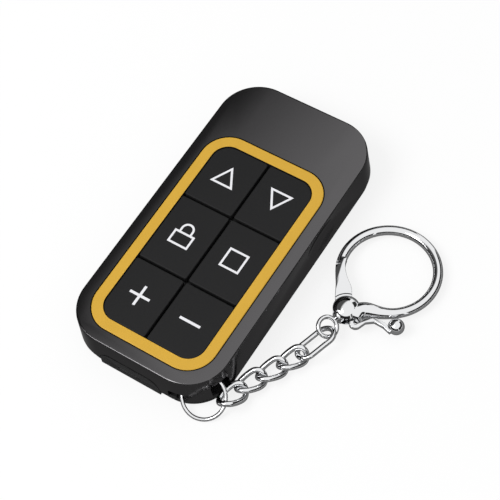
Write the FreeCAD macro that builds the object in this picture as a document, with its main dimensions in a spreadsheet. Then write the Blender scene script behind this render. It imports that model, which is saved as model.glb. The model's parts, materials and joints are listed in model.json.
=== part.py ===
"""Six-button gate remote on a key chain: metal frame, coloured bezel, keys, board, battery, chain and trigger clasp.

The origin is at the middle of the flat back, +Z points out of the keyed face and +Y towards the blank end.
"""
import FreeCAD, Part
import math
import os
import re
import Sketcher

Vector = FreeCAD.Vector
doc = FreeCAD.newDocument("GateRemote")

# Sizes in millimetres and degrees
SIZES = {
    "case_width": 38.0,
    "case_length": 75.0,
    "case_corner": 9.63,
    "case_height": 10.0,
    "rim_height": 2.1,
    "wall_draft": 2.9,
    "frame_wall": 1.5,
    "face_thickness": 1.2,
    "face_edge_round": 0.5,
    "scoop_middle_y": 10.0,
    "scoop_middle_z": 6.6,
    "scoop_sweep": 20.0,
    "scoop_round": 8.0,
    "scoop_depth": 0.75,
    "bezel_side_margin": 3.3,
    "bezel_end_margin": 3.24,
    "bezel_length": 55.9,
    "bezel_corner": 6.8,
    "bezel_band": 2.6,
    "bezel_gap": 0.25,
    "bezel_proud": 0.12,
    "bezel_thickness": 1.05,
    "bezel_flange": 1.1,
    "bezel_flange_thickness": 0.8,
    "bezel_skirt": 0.9,
    "bezel_edge_round": 0.2,
    "key_groove": 0.6,
    "key_bezel_gap": 0.16,
    "key_drop": 0.05,
    "key_thickness": 1.55,
    "key_corner": 0.5,
    "key_edge_round": 0.25,
    "key_lip": 0.55,
    "key_lip_thickness": 0.5,
    "key_stem_radius": 1.5,
    "row_pitch": 18.34,
    "mat_thickness": 0.6,
    "mat_hole_radius": 1.8,
    "board_bottom": 4.9,
    "board_thickness": 0.8,
    "board_margin": 0.45,
    "board_end_margin": 9.5,
    "board_corner": 7.0,
    "switch_side": 4.6,
    "switch_height": 1.4,
    "plunger_radius": 1.2,
    "plunger_rise": 0.45,
    "plunger_length": 1.15,
    "plunger_clearance": 0.1,
    "switch_well_spare": 0.5,
    "fit_gap": 0.1,
    "slide_gap": 0.2,
    "cover_inset": 0.5,
    "cover_floor": 1.6,
    "cover_wall": 1.1,
    "cover_upstand_top": 4.8,
    "door_middle_x": -1.2,
    "door_face_width": 21.8,
    "door_tongue": 1.0,
    "door_face_thickness": 0.55,
    "door_tongue_thickness": 0.65,
    "door_beyond_cell": 1.4,
    "door_lip_width": 15.8,
    "door_lip_height": 5.0,
    "door_lip_thickness": 1.1,
    "door_lip_corner": 3.0,
    "nail_slot_width": 6.0,
    "nail_slot_height": 0.8,
    "nail_slot_depth": 0.6,
    "nail_slot_middle_z": 2.2,
    "cell_radius": 10.0,
    "cell_height": 3.2,
    "cell_cap_height": 0.3,
    "cell_cap_radius": 8.9,
    "cell_end_margin": 13.5,
    "cell_clearance": 0.25,
    "well_wall": 0.8,
    "contact_thickness": 0.2,
    "contact_width": 4.0,
    "screw_side_margin": 6.5,
    "screw_end_margin": 5.9,
    "screw_radius": 0.8,
    "screw_head_radius": 1.4,
    "screw_head_height": 0.9,
    "screw_length": 6.0,
    "boss_radius": 1.8,
    "lug_length": 5.0,
    "lug_height": 0.7,
    "lug_proud": 0.3,
    "lug_middle_z": 3.6,
    "lug_y": 14.0,
    "lanyard_side_margin": 2.76,
    "lanyard_end_margin": 2.95,
    "lanyard_z": 2.82,
    "lanyard_radius": 4.79,
    "lanyard_wire": 0.9,
    "lanyard_lean": 29.56,
    "lanyard_turn": 23.9,
    "lanyard_room": 6.1,
    "lanyard_room_wall": 0.8,
    "lanyard_room_top": 8.0,
    "end_slot_margin": 7.9,
    "end_slot_width": 3.8,
    "end_slot_top": 5.0,
    "side_slot_margin": 6.4,
    "side_slot_width": 4.4,
    "side_slot_top": 6.6,
    "slot_corner": 0.8,
    "chip_height": 1.2,
    "chip_row": 9.2,
    "antenna_wire": 0.8,
    "antenna_span": 22.0,
    "antenna_end_margin": 11.9,
    "antenna_face_gap": 0.8,
    "link_wire": 1.3,
    "link_length": 8.0,
    "link_width": 5.2,
    "link_twist": 45.0,
    "link_pitch": 5.2,
    "chain_yaw": 61.61,
    "chain_end_x": 11.51,
    "chain_end_y": 17.55,
    "chain_end_z": 2.02,
    "first_link_x": 5.11,
    "first_link_y": 3.55,
    "first_link_z": 2.62,
    "first_link_yaw": 70.54,
    "first_link_pitch": -10.77,
    "first_link_roll": 2.92,
    "oval_wire": 1.2,
    "oval_length": 10.6,
    "oval_width": 5.8,
    "oval_x": 14.0,
    "oval_y": 23.11,
    "oval_z": 2.52,
    "oval_yaw": 69.95,
    "oval_pitch": 5.44,
    "oval_roll": -25.67,
    "clasp_x": 15.71,
    "clasp_y": 33.3,
    "clasp_z": 2.75,
    "clasp_yaw": -12.85,
    "clasp_tilt": 3.33,
    "clasp_ring_reach": 13.72,
    "clasp_ring_radius": 10.85,
    "clasp_ring_wire": 1.12,
    "clasp_arm_swell": 1.08,
    "bulb_half_width": 3.3,
    "bulb_half_height": 2.7,
    "bulb_slot_top": 1.15,
    "bulb_slot_bottom": 0.75,
    "gate_half_height": 0.95,
    "gate_root_height": 0.55,
    "gate_gap": 0.15,
    "gate_clear_radius": 3.75,
    "nose_reach": 13.15,
    "nose_lip_reach": 11.6,
    "gate_hub_radius": 1.5,
    "lever_thickness": 1.0,
    "lever_ball_radius": 1.85,
    "pin_radius": 0.55,
    "pin_top": 1.85,
    "pin_clearance": 0.06,
    "spring_wire": 0.25,
    "spring_radius": 1.1,
    "eye_reach": 5.9,
    "eye_radius": 2.2,
    "eye_wire": 1.0,
    "eye_turn": 32.5,
    "stem_radius": 0.6,
    "stem_clearance": 0.05,
    "stem_flare_radius": 0.95,
    "neck_radius": 1.45,
    "neck_reach": 3.05,
}

sheet = doc.addObject("Spreadsheet::Sheet", "Sizes")
for row, (name, value) in enumerate(SIZES.items(), start=1):
    sheet.set(f"A{row}", name)
    sheet.set(f"B{row}", str(value))
    sheet.setAlias(f"B{row}", name)
doc.recompute()

nodes = []


def size(name):
    """The value of a named size."""
    return float(sheet.get(name))


def full(expression):
    """An expression in which every named size is looked up in the sheet."""
    return re.sub("[a-z_]+", lambda word: f"Sizes.{word[0]}" if word[0] in SIZES else word[0], expression)


def bind(item, prop, expression):
    if expression is not None:
        item.setExpression(prop, full(expression))


def keep(item, label):
    """Marks an object as one finished piece under the name of its file."""
    item.Label = label
    nodes.append(item)
    return item


# Sketch and solid helpers


def origin_plane(body, role):
    for feature in body.Origin.OriginFeatures:
        if feature.Role == role:
            return feature
    raise ValueError(role)


def new_sketch(body, role, x, y, height):
    sketch = body.newObject("Sketcher::SketchObject", "Outline")
    sketch.AttachmentSupport = [(origin_plane(body, role), "")]
    sketch.MapMode = "FlatFace"
    bind(sketch, "AttachmentOffset.Base.x", x)
    bind(sketch, "AttachmentOffset.Base.y", y)
    bind(sketch, "AttachmentOffset.Base.z", height)
    return sketch


def worth(expression):
    """The number that an expression of named sizes comes to now."""
    return float(sheet.evalExpression(full(expression)))


def bound_distance(sketch, kind, places, expression):
    """A named distance constraint that follows an expression."""
    number = sketch.addConstraint(Sketcher.Constraint(kind, *places, worth(expression)))
    name = f"Size{number}"
    sketch.renameConstraint(number, name)
    bind(sketch, f"Constraints.{name}", expression)


def rounded_rectangle(sketch, width, length, corners):
    """A rectangle about the sketch's origin. corners holds the radii from bottom left, anticlockwise."""
    half_width = worth(width) / 2
    half_length = worth(length) / 2
    arcs = []
    lines = []
    for corner, (x, y) in enumerate(((-1, -1), (1, -1), (1, 1), (-1, 1))):
        turn = worth(corners[corner])
        centre = Vector(x * (half_width - turn), y * (half_length - turn), 0)
        first = math.pi + corner * math.pi / 2
        circle = Part.Circle(centre, Vector(0, 0, 1), turn)
        arcs.append(sketch.addGeometry(Part.ArcOfCircle(circle, first, first + math.pi / 2), False))
    for corner in range(4):
        a = sketch.getPoint(arcs[corner], 2)
        b = sketch.getPoint(arcs[(corner + 1) % 4], 1)
        lines.append(sketch.addGeometry(Part.LineSegment(a, b), False))
    for corner in range(4):
        level = "Horizontal" if corner % 2 == 0 else "Vertical"
        sketch.addConstraint(Sketcher.Constraint(level, lines[corner]))
        sketch.addConstraint(Sketcher.Constraint("Tangent", arcs[corner], 2, lines[corner], 1))
        sketch.addConstraint(Sketcher.Constraint("Tangent", lines[corner], 2, arcs[(corner + 1) % 4], 1))
    bound_distance(sketch, "DistanceY", (lines[0], 1, -1, 1), f"( {length} ) / 2")
    bound_distance(sketch, "DistanceX", (-1, 1, lines[1], 1), f"( {width} ) / 2")
    bound_distance(sketch, "DistanceY", (-1, 1, lines[2], 1), f"( {length} ) / 2")
    bound_distance(sketch, "DistanceX", (lines[3], 1, -1, 1), f"( {width} ) / 2")
    for corner in range(4):
        bound_distance(sketch, "Radius", (arcs[corner],), corners[corner])


def pad(body, sketch, length, backwards=False, draft=None):
    feature = body.newObject("PartDesign::Pad", "Pad")
    feature.Profile = sketch
    feature.Reversed = backwards
    bind(feature, "Length", length)
    bind(feature, "TaperAngle", draft)
    body.Tip = feature
    return feature


def prism(name, width, length, corners, bottom, height, x=None, y=None, role="XY_Plane", **options):
    """A body: a rounded rectangle about x, y, padded up from bottom by height."""
    if isinstance(corners, str):
        corners = [corners] * 4
    body = doc.addObject("PartDesign::Body", name)
    sketch = new_sketch(body, role, x, y, bottom)
    rounded_rectangle(sketch, width, length, corners)
    pad(body, sketch, height, **options)
    doc.recompute()
    return body


def add_prism(body, width, length, corners, bottom, height, x=None, y=None, role="XY_Plane"):
    """One more pad on a body."""
    if isinstance(corners, str):
        corners = [corners] * 4
    sketch = new_sketch(body, role, x, y, bottom)
    rounded_rectangle(sketch, width, length, corners)
    pad(body, sketch, height)
    doc.recompute()


def round_edges(body, radius, at_height):
    """A fillet on the body's edges that lie flat at one height."""
    tip = body.Tip
    names = []
    for number, edge in enumerate(tip.Shape.Edges, start=1):
        box = edge.BoundBox
        if abs(box.ZMin - at_height) < 1e-4 and abs(box.ZMax - at_height) < 1e-4:
            names.append(f"Edge{number}")
    feature = body.newObject("PartDesign::Fillet", "EdgeRound")
    feature.Base = (tip, names)
    bind(feature, "Radius", radius)
    body.Tip = feature
    doc.recompute()


def box(name, length, width, height, x, y, z):
    """A block from its lowest corner."""
    item = doc.addObject("Part::Box", name)
    bind(item, "Length", length)
    bind(item, "Width", width)
    bind(item, "Height", height)
    bind(item, "Placement.Base.x", x)
    bind(item, "Placement.Base.y", y)
    bind(item, "Placement.Base.z", z)
    return item


def rod(name, radius, height, x, y, z):
    """An upright cylinder from the middle of its lower end."""
    item = doc.addObject("Part::Cylinder", name)
    bind(item, "Radius", radius)
    bind(item, "Height", height)
    bind(item, "Placement.Base.x", x)
    bind(item, "Placement.Base.y", y)
    bind(item, "Placement.Base.z", z)
    return item


def fuse(name, *pieces):
    item = doc.addObject("Part::MultiFuse", name)
    item.Shapes = list(pieces)
    return item


def cut(name, base, *tools):
    item = doc.addObject("Part::Cut", name)
    item.Base = base
    item.Tool = tools[0] if len(tools) == 1 else fuse(name + "_tools", *tools)
    return item


def common(name, base, tool):
    item = doc.addObject("Part::Common", name)
    item.Base = base
    item.Tool = tool
    return item


def group(name, pieces):
    """Several separate solids that share one node."""
    item = doc.addObject("Part::Compound", name)
    item.Links = list(pieces)
    return item


# Places and heights that several pieces share
BEZEL_WIDTH = "( case_width - 2 * bezel_side_margin )"
KEYPAD_Y = "( bezel_end_margin + bezel_length / 2 - case_length / 2 )"
CELL_Y = "( cell_end_margin - case_length / 2 )"
DOOR_REACH_Y = "( cell_end_margin - case_length / 2 + cell_radius + door_beyond_cell )"
SCREW_X = "( case_width / 2 - screw_side_margin )"
SCREW_Y = "( case_length / 2 - screw_end_margin )"
LANYARD_X = "( case_width / 2 - lanyard_side_margin )"
LANYARD_Y = "( lanyard_end_margin - case_length / 2 )"
BOARD_END_Y = "( case_length / 2 - board_end_margin )"
KEY_TOP = "( case_height - key_drop )"
FACE_UNDERSIDE = "( case_height - face_thickness )"
BOARD_TOP = "( board_bottom + board_thickness )"
SWITCH_TOP = "( board_bottom + board_thickness + switch_height )"
PLUNGER_TOP = "( board_bottom + board_thickness + switch_height + plunger_rise )"
KEY_BOTTOM = "( case_height - key_drop - key_thickness )"
BEZEL_TOP = "( case_height + bezel_proud )"
BEZEL_UNDERSIDE = "( case_height + bezel_proud - bezel_thickness )"
CAVITY_WIDTH = "( case_width - 2 * frame_wall )"
CAVITY_LENGTH = "( case_length - 2 * frame_wall )"
CAVITY_CORNER = "( case_corner - frame_wall )"
RIM_GROWTH = "( ( case_height - rim_height ) * tan(wall_draft) )"
DOOR_TOP = "( door_face_thickness + door_tongue_thickness )"
CELL_BOTTOM = f"( {DOOR_TOP} + fit_gap )"
COVER_SHOULDER = "( rim_height - fit_gap )"
COVER_EDGE_Y = f"( case_length / 2 + {RIM_GROWTH} - cover_inset )"


def front_frame():
    """The metal shell: a drafted box open at the back, with the keypad window and the cut-outs."""
    frame = prism("FrameBlock", "case_width", "case_length", "case_corner", "case_height",
                  "case_height - rim_height", backwards=True, draft="wall_draft")
    round_edges(frame, "face_edge_round", size("case_height"))
    cavity = prism("FrameCavity", CAVITY_WIDTH, CAVITY_LENGTH, CAVITY_CORNER, "0",
                   "case_height - face_thickness")
    window = prism("FrameWindow", f"{BEZEL_WIDTH} + 2 * bezel_gap", "bezel_length + 2 * bezel_gap",
                   "bezel_corner + bezel_gap", "0", "2 * case_height", y=KEYPAD_Y)
    arch = prism("DoorArch", "door_lip_width + 2 * fit_gap", "2 * ( door_lip_height + fit_gap )",
                 "door_lip_corner + fit_gap", "case_length / 2 - 2 * frame_wall", "4 * frame_wall",
                 x="door_middle_x", role="XZ_Plane")
    end_slot = prism("LanyardEndSlot", "end_slot_width", "2 * end_slot_top", "slot_corner",
                     "case_length / 2 - 3 * frame_wall", "6 * frame_wall", x="( case_width / 2 - end_slot_margin )",
                     role="XZ_Plane")
    side_slot = prism("LanyardSideSlot", "side_slot_width", "2 * side_slot_top", "slot_corner",
                      "case_width / 2 - 3 * frame_wall", "6 * frame_wall", x="( side_slot_margin - case_length / 2 )",
                      role="YZ_Plane")
    tools = [cavity, window, arch, end_slot, side_slot]
    for side in (1, -1):
        scoop = doc.addObject("Part::Torus", "ThumbScoop")
        bind(scoop, "Radius1", "scoop_sweep")
        bind(scoop, "Radius2", "scoop_round")
        bind(scoop, "Placement.Base.x",
             f"{side} * ( case_width / 2 + 0.2 + scoop_sweep + scoop_round - scoop_depth )")
        bind(scoop, "Placement.Base.y", "scoop_middle_y")
        bind(scoop, "Placement.Base.z", "scoop_middle_z")
        tools.append(scoop)
        for along in (1, -1):
            tools.append(box("LugPocket", "2 * ( lug_proud + fit_gap )", "lug_length + 4 * fit_gap",
                             "lug_height + 3 * fit_gap",
                             f"{side} * ( {CAVITY_WIDTH} / 2 ) - lug_proud - fit_gap",
                             f"{along} * lug_y - lug_length / 2 - 2 * fit_gap",
                             "lug_middle_z - lug_height / 2 - 1.5 * fit_gap"))
    shell = cut("FrameShell", frame, *tools)
    bosses = []
    holes = []
    for side in (1, -1):
        bosses.append(rod("ScrewBoss", "boss_radius", f"{FACE_UNDERSIDE} - cover_floor",
                          f"{side} * {SCREW_X}", SCREW_Y, "cover_floor"))
        holes.append(rod("BossHole", "screw_radius", "screw_length", f"{side} * {SCREW_X}", SCREW_Y,
                         "cover_floor"))
    keep(cut("Frame", fuse("FrameWithBosses", shell, *bosses), *holes), "front_frame")


def bezel_ring():
    """The coloured band round the keys, with a flange behind the face and a skirt that stands on the board."""
    ring = prism("BezelBlock", BEZEL_WIDTH, "bezel_length", "bezel_corner", BOARD_TOP,
                 f"{BEZEL_TOP} - {BOARD_TOP}", y=KEYPAD_Y)
    round_edges(ring, "bezel_edge_round", size("case_height") + size("bezel_proud"))
    flange = prism("BezelFlange", f"{BEZEL_WIDTH} + 2 * bezel_flange", "bezel_length + 2 * bezel_flange",
                   "bezel_corner + bezel_flange", f"{FACE_UNDERSIDE} - bezel_flange_thickness",
                   "bezel_flange_thickness", y=KEYPAD_Y)
    opening = prism("BezelOpening", f"{BEZEL_WIDTH} - 2 * bezel_band", "bezel_length - 2 * bezel_band",
                    "bezel_corner - bezel_band", "0", "2 * case_height", y=KEYPAD_Y)
    hollow = prism("BezelHollow", f"{BEZEL_WIDTH} - 2 * bezel_skirt", "bezel_length - 2 * bezel_skirt",
                   "bezel_corner - bezel_skirt", "0", BEZEL_UNDERSIDE, y=KEYPAD_Y)
    room = rod("LanyardRoomInBezel", "lanyard_room", "lanyard_room_top - bezel_flange_thickness", LANYARD_X,
               LANYARD_Y, "0")
    keep(cut("Bezel", fuse("BezelBody", ring, flange), opening, hollow, room), "bezel_ring")


KEYS = {
    "key_up": (-1, 1),
    "key_down": (1, 1),
    "key_lock": (-1, 0),
    "key_square": (1, 0),
    "key_plus": (-1, -1),
    "key_minus": (1, -1),
}
OPENING_WIDTH = f"( {BEZEL_WIDTH} - 2 * bezel_band )"
OPENING_LENGTH = "( bezel_length - 2 * bezel_band )"
KEY_WIDTH = f"( {OPENING_WIDTH} / 2 - key_bezel_gap - key_groove / 2 )"
KEY_X = f"( {OPENING_WIDTH} / 4 + key_groove / 4 - key_bezel_gap / 2 )"
MIDDLE_LENGTH = "( row_pitch - key_groove )"
END_LENGTH = f"( {OPENING_LENGTH} / 2 - row_pitch / 2 - key_bezel_gap - key_groove / 2 )"
END_Y = f"( {OPENING_LENGTH} / 4 + row_pitch / 4 + key_groove / 4 - key_bezel_gap / 2 )"
KEY_ROUND = "( bezel_corner - bezel_band - key_bezel_gap )"


def key_place(column, row):
    """Where the middle of a key is, as two expressions."""
    x = f"( {column} * {KEY_X} )"
    y = f"( {KEYPAD_Y} + {row} * {END_Y} )"
    return x, y


def keycap(name, column, row):
    """One key: a tile with a lip that the bezel holds down and a stem that presses the switch."""
    x, y = key_place(column, row)
    length = END_LENGTH if row else MIDDLE_LENGTH
    corners = ["key_corner"] * 4
    if row:
        corner = {(-1, -1): 0, (1, -1): 1, (1, 1): 2, (-1, 1): 3}[(column, row)]
        corners[corner] = KEY_ROUND
    key = prism("Key", KEY_WIDTH, length, corners, KEY_BOTTOM, "key_thickness", x=x, y=y)
    round_edges(key, "key_edge_round", worth(KEY_TOP))
    lip_corners = [f"( {radius} + key_lip )" if "bezel" in radius else radius for radius in corners]
    spread = "key_lip" if row else "0"
    add_prism(key, f"{KEY_WIDTH} + key_lip", f"{length} + {spread}", lip_corners, KEY_BOTTOM,
              "key_lip_thickness", x=f"{x} + {column} * key_lip / 2", y=f"{y} + {row} * key_lip / 2")
    stem = rod("KeyStem", "key_stem_radius", f"{KEY_BOTTOM} - {PLUNGER_TOP} + 0.2", x, y, PLUNGER_TOP)
    keep(fuse("KeyWithStem", key, stem), name)


def plunger(name, column, row):
    """The moving button of one switch, which its key rests on."""
    x, y = key_place(column, row)
    piece = rod("Plunger", "plunger_radius", "plunger_length", x, y, f"{PLUNGER_TOP} - plunger_length")
    keep(piece, name)


def tact_switches():
    """The six switch bases on the board, each with the well that its plunger moves in."""
    bases = []
    for column, row in KEYS.values():
        x, y = key_place(column, row)
        base = box("SwitchBase", "switch_side", "switch_side", "switch_height", f"{x} - switch_side / 2",
                   f"{y} - switch_side / 2", BOARD_TOP)
        bottom = f"( {PLUNGER_TOP} - plunger_length - switch_well_spare )"
        well = rod("SwitchWell", "plunger_radius + plunger_clearance", "2 * switch_height", x, y, bottom)
        bases.append(cut("Switch", base, well))
    keep(group("Switches", bases), "tact_switches")


def keypad_mat():
    """The soft mat between keys and switches, with a hole for each stem."""
    mat = prism("MatSheet", f"{BEZEL_WIDTH} - 2 * bezel_skirt - 2 * fit_gap",
                "bezel_length - 2 * bezel_skirt - 2 * fit_gap", "bezel_corner - bezel_skirt - fit_gap",
                SWITCH_TOP, "mat_thickness", y=KEYPAD_Y)
    holes = []
    for column, row in KEYS.values():
        x, y = key_place(column, row)
        holes.append(rod("MatHole", "mat_hole_radius", "case_height", x, y, "0"))
    keep(cut("Mat", mat, *holes), "keypad_mat")


BOARD_WIDTH = f"( {CAVITY_WIDTH} - 2 * board_margin )"
BOARD_LOW_Y = f"( {CAVITY_LENGTH} / 2 - board_margin )"


def circuit_board():
    """The board, with a round bite where the key ring swings."""
    board = prism("BoardSheet", BOARD_WIDTH, f"{BOARD_END_Y} + {BOARD_LOW_Y}", "board_corner", "board_bottom",
                  "board_thickness", y=f"( {BOARD_END_Y} - {BOARD_LOW_Y} ) / 2")
    room = rod("LanyardRoomInBoard", "lanyard_room + lanyard_room_wall + fit_gap", "case_height", LANYARD_X,
               LANYARD_Y, "0")
    keep(cut("Board", board, room), "circuit_board")


def chip(name, length, width, height, x, y):
    """A small part on top of the board, its y counted from the middle of the keypad."""
    return box(name, length, width, height, f"{x} - {length} / 2", f"{KEYPAD_Y} + {y} - {width} / 2", BOARD_TOP)


def electronics():
    keep(chip("Controller", "5", "4.4", "chip_height", "0", "chip_row"), "microcontroller")
    keep(chip("Memory", "3", "3.9", "chip_height - 0.1", "0", "-chip_row"), "memory_chip")
    can = doc.addObject("Part::Cylinder", "Resonator")
    bind(can, "Radius", "1.9")
    bind(can, "Height", "chip_height")
    bind(can, "Placement.Base.x", "-8")
    bind(can, "Placement.Base.y", f"{KEYPAD_Y} - chip_row")
    bind(can, "Placement.Base.z", BOARD_TOP)
    keep(can, "rf_resonator")
    keep(chip("Crystal", "3.2", "2.5", "chip_height - 0.4", "8", "chip_row"), "quartz_crystal")
    small = []
    for column in (-1, 1):
        for place in ("-5.9", "-2.7", "5.3", "12.8"):
            small.append(chip("Chip", "1", "1.6", "0.6", f"{column} * 2.6", place))
    keep(group("SmallChips", small), "chip_components")


def round_corners(points, radius):
    """A wire through the points: straight runs joined by tangent arcs."""
    edges = []
    start = points[0]
    for before, corner, after in zip(points, points[1:], points[2:]):
        back = (before - corner).normalize()
        ahead = (after - corner).normalize()
        turn = math.pi - back.getAngle(ahead)
        reach = radius * math.tan(turn / 2)
        first = corner + back * reach
        last = corner + ahead * reach
        middle_way = (back + ahead).normalize()
        middle = corner + middle_way * (radius / math.cos(turn / 2) - radius)
        if (first - start).Length > 1e-6:
            edges.append(Part.LineSegment(start, first).toShape())
        edges.append(Part.Arc(first, middle, last).toShape())
        start = last
    edges.append(Part.LineSegment(start, points[-1]).toShape())
    return Part.Wire(edges)


def tube(wire, radius):
    """A round bar along an open wire."""
    edge = wire.Edges[0]
    start = edge.valueAt(edge.FirstParameter)
    along = edge.tangentAt(edge.FirstParameter)
    circle = Part.Wire([Part.makeCircle(radius, start, along)])
    return wire.makePipeShell([circle], True, False)


def feature(name, shape, placement=None):
    item = doc.addObject("Part::Feature", name)
    item.Shape = shape
    if placement is not None:
        item.Placement = placement
    return item


def antenna():
    """A stiff wire loop that stands on the board at the blank end."""
    half = size("antenna_span") / 2
    foot = size("board_bottom") + size("board_thickness")
    top = worth(f"{FACE_UNDERSIDE} - antenna_face_gap")
    y = worth("case_length / 2 - antenna_end_margin")
    points = [Vector(-half, y, foot), Vector(-half, y, top), Vector(half, y, top), Vector(half, y, foot)]
    wire = round_corners(points, size("antenna_wire"))
    keep(feature("Antenna", tube(wire, size("antenna_wire") / 2)), "antenna_wire")


def rear_cover():
    """The plastic back: floor, upstand inside the frame, battery well, door track and key ring room."""
    skirt = prism("CoverSkirt", f"case_width + 2 * {RIM_GROWTH} - 2 * cover_inset", f"2 * {COVER_EDGE_Y}",
                  f"case_corner + {RIM_GROWTH} - cover_inset", "0", COVER_SHOULDER)
    upstand = prism("CoverUpstand", f"{CAVITY_WIDTH} - 2 * fit_gap", f"{CAVITY_LENGTH} - 2 * fit_gap",
                    f"{CAVITY_CORNER} - fit_gap", "cover_floor / 2", "cover_upstand_top - cover_floor / 2")
    solid = [skirt, upstand]
    holes = []
    for side in (1, -1):
        for along in (1, -1):
            solid.append(box("Lug", "2 * lug_proud", "lug_length", "lug_height",
                             f"{side} * ( {CAVITY_WIDTH} / 2 - fit_gap ) - lug_proud",
                             f"{along} * lug_y - lug_length / 2", "lug_middle_z - lug_height / 2"))
        holes.append(rod("ScrewHole", "screw_radius + fit_gap", "case_height", f"{side} * {SCREW_X}",
                         SCREW_Y, "0 - 1"))
        holes.append(rod("ScrewHeadHole", "screw_head_radius + fit_gap", "screw_head_height",
                         f"{side} * {SCREW_X}", SCREW_Y, "0"))
    hollow = prism("CoverHollow", f"{CAVITY_WIDTH} - 2 * fit_gap - 2 * cover_wall",
                   f"{CAVITY_LENGTH} - 2 * fit_gap - 2 * cover_wall",
                   f"{CAVITY_CORNER} - fit_gap - cover_wall", "cover_floor", "case_height")
    well = rod("CellWell", "cell_radius + cell_clearance + well_wall", "case_height", "door_middle_x",
               CELL_Y, "0")
    room = rod("RingRoom", "lanyard_room + lanyard_room_wall", "case_height", LANYARD_X, LANYARD_Y, "0")
    holes.append(cut("CoverInside", hollow, well, room))
    holes.append(rod("RingSpace", "lanyard_room", "case_height", LANYARD_X, LANYARD_Y, "cover_floor"))
    holes.append(rod("CellHole", "cell_radius + cell_clearance", "case_height", "door_middle_x",
                     CELL_Y, "door_face_thickness"))
    track_end = f"( {DOOR_REACH_Y} + slide_gap + {COVER_EDGE_Y} + 1 )"
    holes.append(box("DoorTrackFace", "door_face_width + 2 * slide_gap", track_end, "door_face_thickness + 1",
                     "door_middle_x - door_face_width / 2 - slide_gap", f"0 - {COVER_EDGE_Y} - 1", "0 - 1"))
    holes.append(box("DoorTrackTongue", "door_face_width + 2 * door_tongue + 2 * slide_gap", track_end,
                     "door_tongue_thickness + slide_gap / 2",
                     "door_middle_x - door_face_width / 2 - door_tongue - slide_gap",
                     f"0 - {COVER_EDGE_Y} - 1", "door_face_thickness"))
    holes.append(box("LipNotch", "door_lip_width + 2 * fit_gap", "door_lip_thickness + 1 + slide_gap",
                     "case_height", "door_middle_x - door_lip_width / 2 - fit_gap",
                     f"0 - {COVER_EDGE_Y} - cover_inset - 1", "0 - 1"))
    holes.append(box("ContactNotch", "contact_width + 4 * fit_gap", "2 * well_wall + cell_clearance",
                     "case_height", "door_middle_x - contact_width / 2 - 2 * fit_gap",
                     f"{CELL_Y} + cell_radius", CELL_BOTTOM))
    keep(cut("Cover", fuse("CoverSolid", *solid), *holes), "rear_cover")


def battery_door():
    """The sliding door under the battery, with the raised lip that fills the arch in the frame."""
    end = f"( {DOOR_REACH_Y} + {COVER_EDGE_Y} )"
    face = box("DoorFace", "door_face_width", end, "door_face_thickness + slide_gap / 2",
               "door_middle_x - door_face_width / 2", f"0 - {COVER_EDGE_Y}", "0")
    tongue = box("DoorTongue", "door_face_width + 2 * door_tongue", end,
                 "door_tongue_thickness - slide_gap / 2", "door_middle_x - door_face_width / 2 - door_tongue",
                 f"0 - {COVER_EDGE_Y}", "door_face_thickness + slide_gap / 2")
    outline = prism("DoorOutline", f"case_width + 2 * {RIM_GROWTH} - 2 * cover_inset", f"2 * {COVER_EDGE_Y}",
                    f"case_corner + {RIM_GROWTH} - cover_inset", "0", "case_height")
    plate = common("DoorPlate", fuse("DoorPlates", face, tongue), outline)
    lip = prism("LipSlab", "door_lip_width", "2 * door_lip_height", "door_lip_corner",
                f"{COVER_EDGE_Y} + cover_inset - door_lip_thickness", "door_lip_thickness",
                x="door_middle_x", role="XZ_Plane")
    above = box("AboveBack", "case_width", "case_length", "case_height", "0 - case_width / 2",
                "0 - case_length", "0")
    lip_top = common("Lip", lip, above)
    slot = box("NailSlot", "nail_slot_width", "2 * nail_slot_depth", "nail_slot_height",
               "door_middle_x - nail_slot_width / 2", f"0 - {COVER_EDGE_Y} - cover_inset - nail_slot_depth",
               "nail_slot_middle_z - nail_slot_height / 2")
    keep(cut("Door", fuse("DoorBody", plate, lip_top), slot), "battery_door")


def battery_and_contacts():
    can = rod("CellCan", "cell_radius", "cell_height - cell_cap_height", "door_middle_x", CELL_Y,
              CELL_BOTTOM)
    cap = rod("CellCap", "cell_cap_radius", "cell_height", "door_middle_x", CELL_Y, CELL_BOTTOM)
    keep(fuse("Cell", can, cap), "coin_cell")
    under = "board_bottom - contact_thickness"
    pad_piece = box("ContactPad", "2 * contact_width", "contact_width", "contact_thickness",
                    "door_middle_x - contact_width", f"{CELL_Y} - contact_width / 2", under)
    finger = box("ContactFinger", "contact_width", "contact_width",
                 f"board_bottom - {CELL_BOTTOM} - cell_height", "door_middle_x - contact_width / 2",
                 f"{CELL_Y} - contact_width / 2", f"{CELL_BOTTOM} + cell_height")
    keep(fuse("NegativeContact", pad_piece, finger), "battery_contact_negative")
    strip = box("ContactStrip", "contact_width", "contact_thickness", f"board_bottom - {CELL_BOTTOM} - fit_gap",
                "door_middle_x - contact_width / 2", f"{CELL_Y} + cell_radius",
                f"{CELL_BOTTOM} + fit_gap")
    foot = box("ContactFoot", "contact_width", "3 * contact_width / 4", "contact_thickness",
               "door_middle_x - contact_width / 2", f"{CELL_Y} + cell_radius", under)
    keep(fuse("PositiveContact", strip, foot), "battery_contact_positive")


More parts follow.
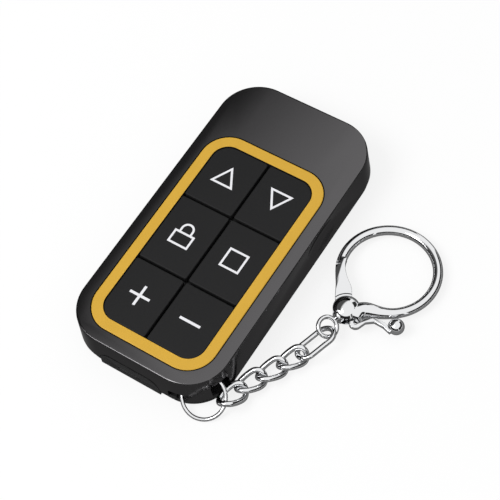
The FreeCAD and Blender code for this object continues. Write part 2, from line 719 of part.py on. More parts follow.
def case_screws():
    """Two self-tapping screws that hold the blank end of the cover to the frame."""
    screws = []
    for side in (1, -1):
        head = rod("ScrewHead", "screw_head_radius", "screw_head_height - fit_gap", f"{side} * {SCREW_X}",
                   SCREW_Y, "fit_gap / 2")
        shank = rod("ScrewShank", "screw_radius - 0.02", "screw_length", f"{side} * {SCREW_X}", SCREW_Y,
                    "fit_gap / 2")
        tools = []
        for long_way in ("x", "y"):
            length = "1.6" if long_way == "x" else "0.35"
            width = "0.35" if long_way == "x" else "1.6"
            tools.append(box("ScrewCross", length, width, "0.9", f"{side} * {SCREW_X} - {length} / 2",
                             f"{SCREW_Y} - {width} / 2", "0 - 0.4"))
        screws.append(cut("Screw", fuse("ScrewBody", head, shank), *tools))
    keep(group("Screws", screws), "case_screws")


def placed(x, y, z, *turns):
    """A placement at x, y, z after the turns, each an axis and an angle."""
    turned = FreeCAD.Rotation()
    for axis, angle in turns:
        turned = turned * FreeCAD.Rotation(axis, angle)
    return FreeCAD.Placement(Vector(x, y, z), turned)


def from_ring(x, y, z, *turns):
    """A placement whose x and y sizes are taken from the middle of the lanyard ring."""
    return placed(worth(f"{LANYARD_X} + {x}"), worth(f"{LANYARD_Y} + {y}"), size(z), *turns)


X = Vector(1, 0, 0)
Y = Vector(0, 1, 0)
Z = Vector(0, 0, 1)


def lanyard_ring():
    """The round wire ring through the corner of the frame, leaning with its outer side down."""
    ring = doc.addObject("Part::Torus", "LanyardRing")
    bind(ring, "Radius1", "lanyard_radius")
    bind(ring, "Radius2", "lanyard_wire / 2")
    ring.Placement = placed(worth(LANYARD_X), worth(LANYARD_Y), size("lanyard_z"),
                            (Z, size("lanyard_turn")), (X, size("lanyard_lean")))
    keep(ring, "lanyard_ring")


def arc_edge(start, along, end):
    """The arc from start, leaving along a direction, to end."""
    chord = end - start
    side = along - chord * (along.dot(chord) / chord.dot(chord))
    if side.Length < 1e-6:
        return Part.LineSegment(start, end).toShape()
    side.normalize()
    bend = along.getAngle(chord)
    middle = (start + end) * 0.5 + side * (chord.Length / 2 * math.tan(bend / 2))
    return Part.Arc(start, middle, end).toShape()


def two_arcs(start, along, end, last):
    """Two arcs that meet smoothly and join two points with given directions."""
    chord = end - start
    both = along + last
    turned = 2 * (1 - along.dot(last))
    if turned < 1e-9:
        reach = chord.dot(chord) / (4 * chord.dot(along))
    else:
        part = chord.dot(both)
        reach = (math.sqrt(part * part + turned * chord.dot(chord)) - part) / turned
    first_arm = start + along * reach
    last_arm = end - last * reach
    meet = (first_arm + last_arm) * 0.5
    heading = (last_arm - first_arm).normalize()
    return [arc_edge(start, along, meet), arc_edge(meet, heading, end)]


def link_point(share, half_length, half_width, twist):
    """A point on a link's middle line, a racetrack twisted about its long axis. share runs from 0 to 1."""
    straight = half_length - half_width
    bow = math.pi * half_width
    way = (share % 1.0) * (4 * straight + 2 * bow)
    if way < 2 * straight:
        x = way - straight
        y = -half_width
    elif way < 2 * straight + bow:
        angle = (way - 2 * straight) / half_width - math.pi / 2
        x = straight + half_width * math.cos(angle)
        y = half_width * math.sin(angle)
    elif way < 4 * straight + bow:
        x = 3 * straight + bow - way
        y = half_width
    else:
        angle = (way - 4 * straight - bow) / half_width + math.pi / 2
        x = -straight + half_width * math.cos(angle)
        y = half_width * math.sin(angle)
    turn = math.radians(twist) * x / half_length
    return Vector(x, y * math.cos(turn), y * math.sin(turn))


def link_shape(length, width, wire, twist):
    """One closed chain link, made as two half loops of wire."""
    half_length = (length - wire) / 2
    half_width = (width - wire) / 2
    steps = 8
    near = 1e-5
    points = []
    ways = []
    for step in range(steps + 1):
        share = step / steps
        points.append(link_point(share, half_length, half_width, twist))
        ahead = link_point(share + near, half_length, half_width, twist)
        behind = link_point(share - near, half_length, half_width, twist)
        ways.append((ahead - behind).normalize())
    halves = []
    for first in (0, steps // 2):
        edges = []
        for step in range(first, first + steps // 2):
            edges += two_arcs(points[step], ways[step], points[step + 1], ways[step + 1])
        halves.append(tube(Part.Wire(edges), wire / 2))
    return halves[0].fuse(halves[1]).Solids[0]


def chain():
    """Four twisted links, the first one askew in the ring, and a plain oval link after them."""
    shape = link_shape(size("link_length"), size("link_width"), size("link_wire"), size("link_twist"))
    yaw = math.radians(size("chain_yaw"))
    for number in range(1, 5):
        if number == 1:
            place = from_ring("first_link_x", "first_link_y", "first_link_z",
                              (Z, size("first_link_yaw")), (Y, -size("first_link_pitch")),
                              (X, size("first_link_roll")))
        else:
            back = (4 - number) * size("link_pitch")
            place = from_ring("chain_end_x", "chain_end_y", "chain_end_z", (Z, size("chain_yaw")))
            place.Base -= Vector(back * math.cos(yaw), back * math.sin(yaw), 0)
        keep(feature("ChainLink", shape.copy(), place), f"chain_link_{number}")
    oval = link_shape(size("oval_length"), size("oval_width"), size("oval_wire"), 0.0)
    place = from_ring("oval_x", "oval_y", "oval_z", (Z, size("oval_yaw")),
                      (Y, -size("oval_pitch")), (X, size("oval_roll")))
    keep(feature("OvalLink", oval, place), "oval_link")


# The clasp is built about its pivot, with +Y towards the middle of its ring.


def clasp_place():
    return from_ring("clasp_x", "clasp_y", "clasp_z", (Z, size("clasp_yaw")),
                     (X, -size("clasp_tilt")))


def ring_spot(angle, radius):
    turn = math.radians(angle)
    return Vector(radius * math.cos(turn), size("clasp_ring_reach") + radius * math.sin(turn), 0)


def disc(radius, low, high, x=0.0, y=0.0):
    return Part.makeCylinder(radius, high - low, Vector(x, y, low), Z)


def bell(angle, spread):
    """1 at the pivot's end of the clasp's ring, falling to 0 over the spread in degrees."""
    return math.exp(-(((angle + 90) / spread) ** 2))


def clasp_body_shape():
    """The open ring, which runs out to the pivot and swells into a bulb there, with a short neck below."""
    ring = size("clasp_ring_radius")
    reach = size("clasp_ring_reach")
    nose = 222
    steps = 24
    sections = []
    for step in range(steps + 1):
        angle = nose - (nose + 90) * step / steps
        middle = ring_spot(angle, ring + (reach - ring) * bell(angle, 13))
        before = ring_spot(angle + 1, ring + (reach - ring) * bell(angle + 1, 13))
        after = ring_spot(angle - 1, ring + (reach - ring) * bell(angle - 1, 13))
        half = size("clasp_ring_wire") + size("clasp_arm_swell") * bell(angle, 28)
        sections.append(Part.Wire([Part.makeCircle(half, middle, (after - before).normalize())]))
    arm = Part.makeLoft(sections, True, False)
    scale = FreeCAD.Matrix()
    scale.scale(size("bulb_half_width"), size("bulb_half_width"), size("bulb_half_height"))
    bulb = Part.makeSphere(1).transformGeometry(scale)
    neck = Part.makeCylinder(size("neck_radius"), size("neck_reach"), Vector(0, 0, 0), -Y)
    below = Part.makeBox(12, 6, 12, Vector(-6, -6 - size("neck_reach"), -6))
    return arm.fuse([bulb, neck]).cut(below)


def tip_region(clearance):
    """What the gate's tip may fill: its inner half reaches further from the pivot than its outer half."""
    inner = disc(size("nose_reach") - clearance, -4, 4).common(
        disc(size("clasp_ring_radius") + 0.1 - clearance, -4, 4, 0, size("clasp_ring_reach")))
    return inner.fuse(disc(size("nose_lip_reach") - clearance, -4, 4))


def clasp_body():
    """The ring and bulb, cut for the gate's tip, slotted for gate and lever, and bored for pin and stem."""
    hub = size("gate_hub_radius") + 0.2
    low = -size("bulb_slot_bottom")
    deep = size("bulb_slot_top") + size("bulb_slot_bottom")
    gate_slot = Part.makeBox(10 + hub, 9.5, deep, Vector(-10, -1.6, low))
    lever_slot = Part.makeBox(20, 8.2, deep, Vector(-10, -8, low))
    stem_block = Part.makeBox(2.4, 6, 8, Vector(-1.2, -8, -4))
    shape = clasp_body_shape()
    shape = shape.cut(tip_region(0.0).common(Part.makeBox(9, 16, 8, Vector(-15.5, -2, -4))))
    shape = shape.cut(gate_slot.fuse(lever_slot).cut(stem_block))
    shape = shape.cut(Part.makeCylinder(size("stem_radius") + size("stem_clearance"), 6, Vector(0, -7, 0), Y))
    shape = shape.cut(Part.makeCylinder(size("stem_flare_radius") + 0.1, 0.7, Vector(0, -2.85, 0), Y))
    shape = shape.cut(disc(size("pin_radius") + 0.01, -4, size("pin_top")))
    keep(feature("ClaspBody", shape, clasp_place()), "clasp_body")


def gate_finger(half_height):
    """The gate's waisted finger from the pivot to the nose of the ring, as thick as asked."""
    ring = size("clasp_ring_radius")
    wire = 0.94 * size("clasp_ring_wire")
    outer = [ring_spot(204, ring + wire), ring_spot(214, ring + wire), Vector(-8.1, 4.95, 0),
             Vector(-6.0, 2.9, 0), Vector(-3.9, 0.5, 0), Vector(-2.3, -0.8, 0), Vector(-0.9, -1.2, 0)]
    inner = [Vector(0.3, 1.45, 0), Vector(-0.9, 2.7, 0), Vector(-2.5, 4.35, 0), Vector(-5.0, 5.75, 0),
             Vector(-7.0, 7.1, 0), ring_spot(214, ring - wire), ring_spot(204, ring - wire)]
    curves = []
    for points in (outer, inner):
        curve = Part.BSplineCurve()
        curve.interpolate(points)
        curves.append(curve.toShape())
    root = Part.LineSegment(outer[-1], inner[0]).toShape()
    tip = Part.LineSegment(inner[-1], outer[0]).toShape()
    face = Part.Face(Part.Wire([curves[0], root, curves[1], tip]))
    face.translate(Vector(0, 0, -half_height))
    return face.extrude(Vector(0, 0, 2 * half_height))


def lever_strip():
    """The thumb lever: a strip that hooks out of the bulb and runs to the ball."""
    points = [Vector(0, 0, 0), Vector(2.3, -0.5, 0), Vector(3.4, -2.2, 0), Vector(4.6, -1.7, 0),
              Vector(4.9, 0.6, 0), Vector(6.3, 2.3, 0), Vector(8.7, 2.8, 0), Vector(10.9, 2.7, 0)]
    path = round_corners(points, 0.85)
    half = size("lever_thickness") / 2
    level = size("gate_root_height")
    across = (points[1] - points[0]).cross(Z).normalize() * half
    corners = [across + Z * level, across - Z * level, -across - Z * level, -across + Z * level]
    frame = Part.makePolygon(corners + corners[:1])
    return path.makePipeShell([frame], True, False)


def clasp_gate():
    """The sprung gate and its thumb lever in one piece, turning on the pin."""
    clear = size("gate_clear_radius")
    root = size("gate_root_height")
    thick = gate_finger(size("gate_half_height")).common(tip_region(size("gate_gap")))
    thick = thick.cut(disc(clear, -4, 4))
    thin = gate_finger(root).common(disc(clear + 0.5, -4, 4))
    hub = disc(size("gate_hub_radius"), -root, root)
    ball = Part.makeSphere(size("lever_ball_radius"), Vector(10.75, 4.45, 0))
    shape = thick.fuse([thin, hub, lever_strip(), ball])
    shape = shape.cut(disc(size("pin_radius") + size("pin_clearance"), -4, 4))
    keep(feature("ClaspGate", shape, clasp_place()), "clasp_gate")


def clasp_small_parts():
    """The pin, the gate's spring round it, and the eye that swivels in the neck."""
    pin = disc(size("pin_radius"), 0.1 - size("bulb_half_height"), size("pin_top") - 0.02)
    keep(feature("GatePin", pin, clasp_place()), "gate_pin")
    wire = size("spring_wire")
    level = size("gate_root_height") + 0.04 + wire / 2
    helix = Part.makeHelix(1.1 * wire, 1.1 * wire, size("spring_radius"))
    helix.translate(Vector(0, 0, level))
    keep(feature("GateSpring", tube(Part.Wire(helix.Edges), wire / 2), clasp_place()), "gate_spring")
    eye = Part.makeTorus(size("eye_radius"), size("eye_wire") / 2, Vector(0, 0, 0), Z)
    eye.rotate(Vector(0, 0, 0), Y, size("eye_turn"))
    eye.translate(Vector(0, -size("eye_reach"), 0))
    ring_top = size("eye_reach") - size("eye_radius")
    stem = Part.makeCylinder(size("stem_radius"), ring_top - 2.4, Vector(0, -ring_top, 0), Y)
    flare = Part.makeCylinder(size("stem_flare_radius"), 0.4, Vector(0, -2.7, 0), Y)
    keep(feature("SwivelEye", eye.fuse([stem, flare]), clasp_place()), "swivel_eye")


front_frame()
bezel_ring()
for key_name, (key_column, key_row) in KEYS.items():
    keycap(key_name, key_column, key_row)
for key_name, (key_column, key_row) in KEYS.items():
    plunger(key_name.replace("key_", "plunger_"), key_column, key_row)
tact_switches()
keypad_mat()
circuit_board()
electronics()
antenna()
rear_cover()
battery_door()
battery_and_contacts()
case_screws()
lanyard_ring()
chain()
clasp_body()
clasp_gate()
clasp_small_parts()

doc.recompute()
faults = []
for item in doc.Objects:
    if "Invalid" in item.State or "Error" in item.State:
        faults.append(f"{item.Label}: {item.State}")
for item in nodes:
    if item.Shape.isNull() or not item.Shape.isValid() or not item.Shape.Solids:
        faults.append(f"{item.Label}: no valid solid")
if faults:
    raise RuntimeError("; ".join(faults))

os.makedirs("parts", exist_ok=True)
for item in nodes:
    item.Shape.exportStep(f"parts/{item.Label}.step")
    shape = item.Shape
    print(f"{item.Label}: {len(shape.Solids)} solids, {shape.Volume:.2f} mm3")
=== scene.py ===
import json
import math

import bmesh
import bpy
from mathutils import Matrix, Vector


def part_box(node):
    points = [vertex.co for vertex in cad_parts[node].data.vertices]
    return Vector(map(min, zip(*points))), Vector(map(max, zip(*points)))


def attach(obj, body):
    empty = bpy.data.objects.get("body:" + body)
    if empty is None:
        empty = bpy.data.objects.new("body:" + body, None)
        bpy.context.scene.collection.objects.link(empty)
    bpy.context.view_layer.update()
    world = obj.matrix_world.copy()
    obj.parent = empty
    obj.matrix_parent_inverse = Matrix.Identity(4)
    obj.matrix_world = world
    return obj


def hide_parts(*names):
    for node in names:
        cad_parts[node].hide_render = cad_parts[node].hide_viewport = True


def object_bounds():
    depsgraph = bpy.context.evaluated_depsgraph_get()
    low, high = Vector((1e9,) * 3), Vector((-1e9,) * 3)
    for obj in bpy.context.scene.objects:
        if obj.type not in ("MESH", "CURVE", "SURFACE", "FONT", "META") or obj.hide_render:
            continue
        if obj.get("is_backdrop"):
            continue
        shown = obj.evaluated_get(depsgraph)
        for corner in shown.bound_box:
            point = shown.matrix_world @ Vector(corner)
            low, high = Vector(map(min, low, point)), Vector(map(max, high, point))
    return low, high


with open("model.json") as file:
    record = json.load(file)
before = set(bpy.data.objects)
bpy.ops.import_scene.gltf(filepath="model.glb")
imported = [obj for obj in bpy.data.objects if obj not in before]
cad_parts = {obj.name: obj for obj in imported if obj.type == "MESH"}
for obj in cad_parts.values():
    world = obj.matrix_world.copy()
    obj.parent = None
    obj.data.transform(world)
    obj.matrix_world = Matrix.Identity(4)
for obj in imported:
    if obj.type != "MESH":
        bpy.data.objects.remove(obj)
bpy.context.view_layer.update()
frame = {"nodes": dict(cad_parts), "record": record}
print("packed model loaded:", len(frame["nodes"]), "nodes")

scene = bpy.context.scene
scene.view_settings.view_transform = "Standard"
mm = 0.001


def addNode(tree, kind, **sockets):
    node = tree.nodes.new(kind)
    for name, value in sockets.items():
        node.inputs[name.replace("_", " ")].default_value = value
    return node


def makeMaterial(name, finish):
    material = bpy.data.materials.new(name)
    material.use_nodes = True
    tree = material.node_tree
    shader = tree.nodes["Principled BSDF"]
    shader.inputs["Metallic"].default_value = finish.get("metallic", 0.0)
    shader.inputs["Specular IOR Level"].default_value = finish.get("specular", 0.5)
    shader.inputs["Coat Weight"].default_value = finish.get("coat", 0.0)
    shader.inputs["Coat Roughness"].default_value = finish.get("coatRoughness", 0.05)
    if "edgeTint" in finish:
        shader.inputs["Specular Tint"].default_value = (*[finish["edgeTint"]] * 3, 1.0)
    place = tree.nodes.new("ShaderNodeTexCoord")
    mapping = tree.nodes.new("ShaderNodeMapping")
    mapping.inputs["Scale"].default_value = finish.get("stretch", (1.0, 1.0, 1.0))
    tree.links.new(place.outputs["Object"], mapping.inputs["Vector"])
    # cloudy change of colour and roughness
    cloud = addNode(tree, "ShaderNodeTexNoise", Scale=finish.get("cloudScale", 150.0), Detail=3.0)
    tree.links.new(mapping.outputs["Vector"], cloud.inputs["Vector"])
    colour = finish["colour"]
    spread = finish.get("spread", 0.08)
    shade = tree.nodes.new("ShaderNodeMix")
    shade.data_type = "RGBA"
    shade.inputs["A"].default_value = (*[c * (1 - spread) for c in colour], 1.0)
    shade.inputs["B"].default_value = (*[min(c * (1 + spread), 1.0) for c in colour], 1.0)
    tree.links.new(cloud.outputs["Fac"], shade.inputs["Factor"])
    tree.links.new(shade.outputs["Result"], shader.inputs["Base Color"])
    rough = tree.nodes.new("ShaderNodeMapRange")
    roughness = finish["roughness"]
    rough.inputs["To Min"].default_value = roughness * (1 - finish.get("roughSpread", 0.2))
    rough.inputs["To Max"].default_value = roughness * (1 + finish.get("roughSpread", 0.2))
    tree.links.new(cloud.outputs["Fac"], rough.inputs["Value"])
    tree.links.new(rough.outputs["Result"], shader.inputs["Roughness"])
    # fine grain as a bump
    grain = addNode(tree, "ShaderNodeTexNoise", Scale=finish.get("grainScale", 3000.0), Detail=2.0)
    tree.links.new(mapping.outputs["Vector"], grain.inputs["Vector"])
    depth = finish.get("grainDepth", 0.00002)
    bump = addNode(tree, "ShaderNodeBump", Strength=finish.get("grain", 0.2), Distance=depth)
    tree.links.new(grain.outputs["Fac"], bump.inputs["Height"])
    tree.links.new(bump.outputs["Normal"], shader.inputs["Normal"])
    return material


finishes = {
    "frame_metal": {"colour": (0.115, 0.112, 0.115), "metallic": 1.0, "roughness": 0.14, "edgeTint": 0.6,
                    "cloudScale": 60.0, "spread": 0.05, "grainScale": 900.0, "grain": 0.08},
    "bezel_yellow": {"colour": (0.66, 0.385, 0.04), "roughness": 0.42, "specular": 0.3,
                     "cloudScale": 250.0, "spread": 0.05, "grainScale": 2500.0, "grain": 0.25},
    "key_black": {"colour": (0.0125, 0.0125, 0.013), "roughness": 0.6, "specular": 0.2,
                  "cloudScale": 2500.0, "spread": 0.25, "grainScale": 5000.0, "grain": 0.5},
    "rear_black": {"colour": (0.012, 0.012, 0.0125), "roughness": 0.5, "specular": 0.3,
                   "cloudScale": 1500.0, "spread": 0.25, "grainScale": 3500.0, "grain": 0.8,
                   "grainDepth": 0.00004},
    "chrome": {"colour": (0.82, 0.825, 0.835), "metallic": 1.0, "roughness": 0.035, "edgeTint": 0.35,
               "cloudScale": 300.0, "spread": 0.01, "grainScale": 600.0, "grain": 0.02},
    "steel": {"colour": (0.6, 0.6, 0.61), "metallic": 1.0, "roughness": 0.28, "stretch": (1.0, 12.0, 1.0),
              "cloudScale": 400.0, "grainScale": 2500.0, "grain": 0.2},
    "board_green": {"colour": (0.02, 0.14, 0.06), "roughness": 0.3, "coat": 0.4, "cloudScale": 700.0,
                    "spread": 0.3, "stretch": (1.0, 6.0, 1.0)},
    "chip_black": {"colour": (0.02, 0.02, 0.022), "roughness": 0.55, "grainScale": 6000.0, "grain": 0.4},
    "mat_black": {"colour": (0.02, 0.02, 0.021), "roughness": 0.75, "grainScale": 2500.0, "grain": 0.3},
    "switch_black": {"colour": (0.035, 0.035, 0.036), "roughness": 0.5, "grainScale": 4000.0, "grain": 0.3},
    "contact_tin": {"colour": (0.72, 0.71, 0.66), "metallic": 1.0, "roughness": 0.22,
                    "stretch": (8.0, 1.0, 1.0), "grainScale": 1500.0, "grain": 0.15},
    "copper_wire": {"colour": (0.72, 0.42, 0.24), "metallic": 1.0, "roughness": 0.25, "grainScale": 1500.0},
    "capacitor_tan": {"colour": (0.36, 0.25, 0.15), "roughness": 0.5, "spread": 0.2, "cloudScale": 2500.0},
    "symbol_white": {"colour": (0.84, 0.84, 0.87), "roughness": 0.5, "spread": 0.03, "grainScale": 6000.0,
                     "grain": 0.2},
}
materials = {name: makeMaterial(name, finish) for name, finish in finishes.items()}
print("materials made:", len(materials))

slotOf = {part["node"]: part["material_slot"] for part in frame["record"]["subparts"]}
for nodeName, node in frame["nodes"].items():
    node.data.materials.clear()
    node.data.materials.append(materials[slotOf[nodeName]])


def addPiece(name, mesh, body, slotName, replaced=(), material=None):
    piece = bpy.data.objects.new(name, mesh)
    scene.collection.objects.link(piece)
    mesh.materials.clear()
    mesh.materials.append(materials[material or slotName])
    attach(piece, body)
    if replaced:
        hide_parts(*replaced)
    return piece


def finishMesh(bm, name, sharpAngle=40.0):
    for face in bm.faces:
        face.smooth = True
    mesh = bpy.data.meshes.new(name)
    bm.to_mesh(mesh)
    bm.free()
    mesh.set_sharp_from_angle(angle=math.radians(sharpAngle))
    return mesh


# a copy of a node's mesh as one closed skin, with its flat faces whole
def mergedNode(nodeName):
    bm = bmesh.new()
    bm.from_mesh(frame["nodes"][nodeName].data)
    for layer in list(bm.loops.layers.float_vector.values()):
        bm.loops.layers.float_vector.remove(layer)
    bmesh.ops.remove_doubles(bm, verts=bm.verts, dist=0.0005 * mm)
    bmesh.ops.dissolve_limit(bm, angle_limit=math.radians(0.3), verts=bm.verts, edges=bm.edges)
    return bm


def softenEdges(bm, width, angle=30.0):
    sharp = [e for e in bm.edges if len(e.link_faces) == 2 and e.calc_face_angle(0.0) > math.radians(angle)]
    bmesh.ops.bevel(bm, geom=sharp, offset=width * mm, offset_type="OFFSET", segments=2, profile=0.5,
                    affect="EDGES", clamp_overlap=True, material=-1)


bodyOf = {node: body for body, members in frame["record"]["behaviour"]["bodies"].items() for node in members}


def dressNode(nodeName, pieceName, bevel=0.0, sharpAngle=40.0):
    bm = mergedNode(nodeName)
    if bevel:
        softenEdges(bm, bevel)
    mesh = finishMesh(bm, pieceName, sharpAngle)
    return addPiece(pieceName, mesh, bodyOf[nodeName], slotOf[nodeName], [nodeName])


dressNode("front_frame", "frameShell", sharpAngle=35.0)
bezel = dressNode("bezel_ring", "bezelBand", sharpAngle=35.0)
# painted shade: the band's sides below the top 0.24 mm get the black key material, standing in for the dark
# gap round the yellow band
bezel.data.materials.append(materials["key_black"])
paintedShadeDepth = 0.24
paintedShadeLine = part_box("bezel_ring")[1].z - paintedShadeDepth * mm
for polygon in bezel.data.polygons:
    if polygon.center.z < paintedShadeLine:
        polygon.material_index = 1
for keyName in ("up", "down", "lock", "square", "plus", "minus"):
    dressNode("key_" + keyName, "keycap_" + keyName, sharpAngle=35.0)
dressNode("rear_cover", "coverShell", sharpAngle=30.0)
dressNode("battery_door", "doorPlate", sharpAngle=30.0)
dressNode("case_screws", "coverScrews", sharpAngle=30.0)
print("case pieces dressed")


symbols = {"height": 0.03, "top": 9.95, "stroke": 0.5, "barStroke": 0.62,
           "up": {"middle": (-6.88, 11.67), "width": 6.0, "depth": 5.3},
           "down": {"middle": (6.5, 11.45), "width": 6.05, "depth": 5.25},
           "square": {"middle": (6.5, -6.06), "side": 5.1},
           "lock": {"middle": (-6.88, -7.28), "width": 5.3, "depth": 3.6, "bow": 1.65, "leg": 0.85},
           "plus": {"middle": (-6.85, -23.6), "reach": 2.6},
           "minus": {"middle": (6.4, -23.55), "reach": 2.65}}


# turns flat faces into a thin raised print on top of a key
def raisePrint(bm, name, key, middle):
    bmesh.ops.recalc_face_normals(bm, faces=bm.faces)
    made = bmesh.ops.extrude_face_region(bm, geom=bm.faces[:])
    lifted = [item for item in made["geom"] if isinstance(item, bmesh.types.BMVert)]
    bmesh.ops.translate(bm, verts=lifted, vec=(0, 0, symbols["height"]))
    bmesh.ops.translate(bm, verts=bm.verts, vec=(*middle, symbols["top"] - symbols["height"] / 3))
    bmesh.ops.scale(bm, verts=bm.verts, vec=(mm, mm, mm))
    bmesh.ops.recalc_face_normals(bm, faces=bm.faces)
    mesh = finishMesh(bm, name, 30.0)
    return addPiece(name, mesh, "key_" + key, "key_black", material="symbol_white")


# leaves a band of the stroke's width inside the edge of flat faces
def outline(bm, faces, stroke):
    bmesh.ops.inset_region(bm, faces=faces, thickness=stroke, use_boundary=True, use_even_offset=True)
    bmesh.ops.delete(bm, geom=faces, context="FACES")


def triangle(name, key, place, pointsUp):
    bm = bmesh.new()
    half = place["width"] / 2
    tip = place["depth"] / 2 * (1 if pointsUp else -1)
    corners = [bm.verts.new(c) for c in ((-half, -tip, 0), (half, -tip, 0), (0, tip, 0))]
    face = bm.faces.new(corners)
    bm.normal_update()
    outline(bm, [face], symbols["stroke"])
    raisePrint(bm, name, key, place["middle"])


triangle("symbol_up", "up", symbols["up"], True)
triangle("symbol_down", "down", symbols["down"], False)

bm = bmesh.new()
bmesh.ops.create_grid(bm, x_segments=1, y_segments=1, size=symbols["square"]["side"] / 2)
outline(bm, bm.faces[:], symbols["stroke"])
raisePrint(bm, "symbol_square", "square", symbols["square"]["middle"])

bm = bmesh.new()
lock = symbols["lock"]
bmesh.ops.create_grid(bm, x_segments=1, y_segments=1, size=0.5)
bmesh.ops.scale(bm, verts=bm.verts, vec=(lock["width"], lock["depth"], 1))
outline(bm, bm.faces[:], symbols["stroke"])
outer = lock["bow"]
start = bm.verts.new((outer - symbols["stroke"], 0, 0))
end = bm.verts.new((outer, 0, 0))
edge = bm.edges.new((start, end))
bowTurn = math.radians(180)
legTop = lock["depth"] / 2 + lock["leg"]
bmesh.ops.spin(bm, geom=[start, end, edge], axis=(0, 0, 1), cent=(0, 0, 0), angle=bowTurn, steps=20)
bowVerts = {v for f in bm.faces for v in f.verts if v.co.xy.length < outer + 0.01 and f.calc_area() < 0.4}
bmesh.ops.translate(bm, verts=list(bowVerts | {start, end}), vec=(0, legTop, 0))
low = [e for e in bm.edges if e.is_boundary and all(abs(v.co.y - legTop) < 1e-4 for v in e.verts)]
legs = bmesh.ops.extrude_edge_only(bm, edges=low)
feet = [g for g in legs["geom"] if isinstance(g, bmesh.types.BMVert)]
bmesh.ops.translate(bm, verts=feet, vec=(0, -lock["leg"], 0))
raisePrint(bm, "symbol_lock", "lock", lock["middle"])


def bars(name, key, place, crossed):
    bm = bmesh.new()
    half = symbols["barStroke"] / 2
    bmesh.ops.create_grid(bm, x_segments=1, y_segments=1, size=half)
    edges = [e for e in bm.edges if crossed or abs(e.verts[0].co.x - e.verts[1].co.x) < 1e-6]
    for edge in edges:
        away = (edge.verts[0].co + edge.verts[1].co).normalized() * (place["reach"] - half)
        arm = bmesh.ops.extrude_edge_only(bm, edges=[edge])
        ends = [g for g in arm["geom"] if isinstance(g, bmesh.types.BMVert)]
        bmesh.ops.translate(bm, verts=ends, vec=away)
    raisePrint(bm, name, key, place["middle"])


bars("symbol_plus", "plus", symbols["plus"], True)
bars("symbol_minus", "minus", symbols["minus"], False)
print("key symbols made")


dressNode("lanyard_ring", "cornerRing")
for number in (1, 2, 3, 4):
    dressNode(f"chain_link_{number}", f"curbLink_{number}")
dressNode("oval_link", "ovalLoop")
dressNode("clasp_body", "claspRing", sharpAngle=35.0)
dressNode("clasp_gate", "claspGate", bevel=0.14, sharpAngle=35.0)
dressNode("swivel_eye", "claspEye")
dressNode("gate_pin", "claspPin")
print("ring, chain and clasp made")


# mirroredFloor is the strength of the floor's white in reflections, where the camera sees 1
studio = {"floorSide": 3.0, "floorLevel": -0.0002, "floorColour": (0.96, 0.96, 0.96),
          "whiteShare": 0.82, "mirroredFloor": 0.21, "fill": 0.62,
          "keyPlace": (-0.35, -0.45, 0.75), "keySize": 0.5, "keyPower": 5.0}


# 1 where the camera, a reflection or a refraction looks, else 0
def cameraOrMirror(tree):
    path = tree.nodes.new("ShaderNodeLightPath")
    first = tree.nodes.new("ShaderNodeMath")
    first.operation = "MAXIMUM"
    tree.links.new(path.outputs["Is Camera Ray"], first.inputs[0])
    tree.links.new(path.outputs["Is Glossy Ray"], first.inputs[1])
    second = tree.nodes.new("ShaderNodeMath")
    second.operation = "MAXIMUM"
    tree.links.new(first.outputs[0], second.inputs[0])
    tree.links.new(path.outputs["Is Transmission Ray"], second.inputs[1])
    return second.outputs[0]


def makeFloor():
    bm = bmesh.new()
    bmesh.ops.create_grid(bm, x_segments=1, y_segments=1, size=studio["floorSide"] / 2)
    bmesh.ops.translate(bm, verts=bm.verts, vec=(0, 0, studio["floorLevel"]))
    mesh = bpy.data.meshes.new("floor")
    bm.to_mesh(mesh)
    bm.free()
    floor = bpy.data.objects.new("floor", mesh)
    scene.collection.objects.link(floor)
    material = bpy.data.materials.new("pale_floor")
    material.use_nodes = True
    tree = material.node_tree
    shader = tree.nodes["Principled BSDF"]
    shader.inputs["Base Color"].default_value = (*studio["floorColour"], 1)
    shader.inputs["Roughness"].default_value = 0.9
    shader.inputs["Specular IOR Level"].default_value = 0.0
    white = tree.nodes.new("ShaderNodeEmission")
    mirrored = tree.nodes.new("ShaderNodeMapRange")
    mirrored.inputs["To Min"].default_value = studio["mirroredFloor"]
    mirrored.inputs["To Max"].default_value = 1.0
    path = tree.nodes.new("ShaderNodeLightPath")
    tree.links.new(path.outputs["Is Camera Ray"], mirrored.inputs["Value"])
    tree.links.new(mirrored.outputs["Result"], white.inputs["Strength"])
    part = tree.nodes.new("ShaderNodeMapRange")
    part.inputs["To Min"].default_value = 1.0
    part.inputs["To Max"].default_value = studio["whiteShare"]
    tree.links.new(path.outputs["Is Camera Ray"], part.inputs["Value"])
    share = tree.nodes.new("ShaderNodeMath")
    share.operation = "MULTIPLY"
    tree.links.new(cameraOrMirror(tree), share.inputs[0])
    tree.links.new(part.outputs["Result"], share.inputs[1])
    blend = tree.nodes.new("ShaderNodeMixShader")
    tree.links.new(share.outputs[0], blend.inputs[0])
    tree.links.new(shader.outputs[0], blend.inputs[1])
    tree.links.new(white.outputs[0], blend.inputs[2])
    tree.links.new(blend.outputs[0], tree.nodes["Material Output"].inputs["Surface"])
    mesh.materials.append(material)
    floor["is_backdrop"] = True


def makeWorld():
    world = bpy.data.worlds.new("studio")
    scene.world = world
    world.use_nodes = True
    tree = world.node_tree
    background = tree.nodes["Background"]
    background.inputs["Color"].default_value = (1, 1, 1, 1)
    level = tree.nodes.new("ShaderNodeMapRange")
    level.inputs["To Min"].default_value = studio["fill"]
    level.inputs["To Max"].default_value = 1.0
    tree.links.new(cameraOrMirror(tree), level.inputs["Value"])
    tree.links.new(level.outputs["Result"], background.inputs["Strength"])


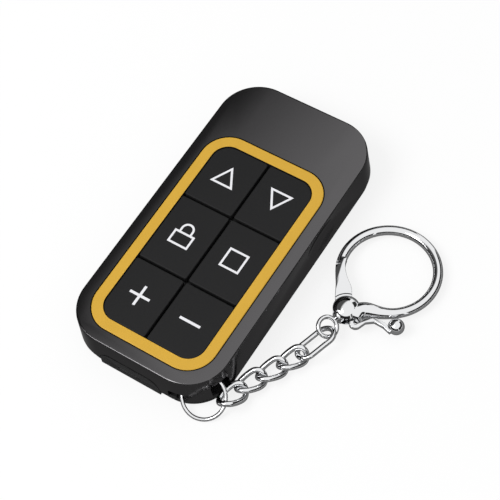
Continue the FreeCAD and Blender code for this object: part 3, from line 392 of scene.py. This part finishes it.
# a graded card above and dark bands around the object, which only its reflections show, before the
# white world: shade 0 is black, 1 white
cards = {
    "ceiling": {"span": ((-0.9, -0.3), (-0.13, 0.7)), "level": 0.4,
                "black": -0.225, "white": -0.13, "least": 0.08},
}
bands = {
    "back": {"reach": 0.8, "from": 100, "to": 215, "low": 3, "high": 32, "shade": 0.0},
    "front": {"reach": 0.8, "from": 222, "to": 330, "low": 3, "high": 30, "shade": 0.02},
    "side": {"reach": 0.8, "from": -24, "to": 82, "low": 3, "high": 34, "shade": 0.03},
}


def cardMaterial(name, card):
    material = bpy.data.materials.new(name)
    material.use_nodes = True
    tree = material.node_tree
    tree.nodes.remove(tree.nodes["Principled BSDF"])
    glow = addNode(tree, "ShaderNodeEmission", Strength=card.get("shade", 1.0))
    tree.links.new(glow.outputs[0], tree.nodes["Material Output"].inputs["Surface"])
    if "black" in card:
        place = tree.nodes.new("ShaderNodeTexCoord")
        split = tree.nodes.new("ShaderNodeSeparateXYZ")
        level = tree.nodes.new("ShaderNodeMapRange")
        level.inputs["From Min"].default_value = card["black"]
        level.inputs["From Max"].default_value = card["white"]
        level.inputs["To Min"].default_value = card["least"]
        tree.links.new(place.outputs["Object"], split.inputs[0])
        tree.links.new(split.outputs["X"], level.inputs["Value"])
        tree.links.new(level.outputs["Result"], glow.inputs["Strength"])
    return material


def addCard(name, bm, card):
    mesh = bpy.data.meshes.new(name)
    bm.to_mesh(mesh)
    bm.free()
    piece = bpy.data.objects.new(name, mesh)
    scene.collection.objects.link(piece)
    mesh.materials.append(cardMaterial(name, card))
    piece.visible_camera = False
    piece.visible_diffuse = False
    piece.visible_shadow = False
    piece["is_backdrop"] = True


def makeCards():
    for name, card in cards.items():
        (left, near), (right, far) = card["span"]
        bm = bmesh.new()
        bmesh.ops.create_grid(bm, x_segments=1, y_segments=1, size=0.5)
        bmesh.ops.scale(bm, verts=bm.verts, vec=(right - left, far - near, 1))
        bmesh.ops.translate(bm, verts=bm.verts, vec=((left + right) / 2, (near + far) / 2, card["level"]))
        addCard("card_" + name, bm, card)
    for name, band in bands.items():
        bm = bmesh.new()
        start = math.radians(band["from"])
        corners = []
        for elevation in (band["low"], band["high"]):
            height = band["reach"] * math.tan(math.radians(elevation))
            across, along = band["reach"] * math.cos(start), band["reach"] * math.sin(start)
            corners.append(bm.verts.new((across, along, height)))
        edge = bm.edges.new(corners)
        bmesh.ops.spin(bm, geom=[*corners, edge], axis=(0, 0, 1), cent=(0, 0, 0),
                       angle=math.radians(band["to"] - band["from"]), steps=24)
        addCard("band_" + name, bm, band)


makeFloor()
makeWorld()
makeCards()

lamp = bpy.data.lights.new("key_lamp", "AREA")
lamp.size = studio["keySize"]
lamp.energy = studio["keyPower"]
lampObject = bpy.data.objects.new("key_lamp", lamp)
scene.collection.objects.link(lampObject)
lampObject.location = studio["keyPlace"]
lampObject.rotation_mode = "QUATERNION"
lampObject.rotation_quaternion = (-Vector(studio["keyPlace"])).to_track_quat("-Z", "Y")

view = {"place": (0.123000, -0.128356, 0.302154), "lens": 110.54,
        "right": (0.83829, 0.53638, -0.09779), "up": (-0.42660, 0.75696, 0.49501),
        "back": (0.33953, -0.37324, 0.86337)}
cameraData = bpy.data.cameras.new("camera")
cameraData.lens = view["lens"]
cameraData.sensor_width = 36.0
cameraData.clip_start = 0.01
cameraData.clip_end = 20.0
camera = bpy.data.objects.new("camera", cameraData)
scene.collection.objects.link(camera)
turned = Matrix((view["right"], view["up"], view["back"])).transposed().to_4x4()
camera.matrix_world = Matrix.Translation(view["place"]) @ turned
scene.camera = camera
print("camera, floor and lights made")

low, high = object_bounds()
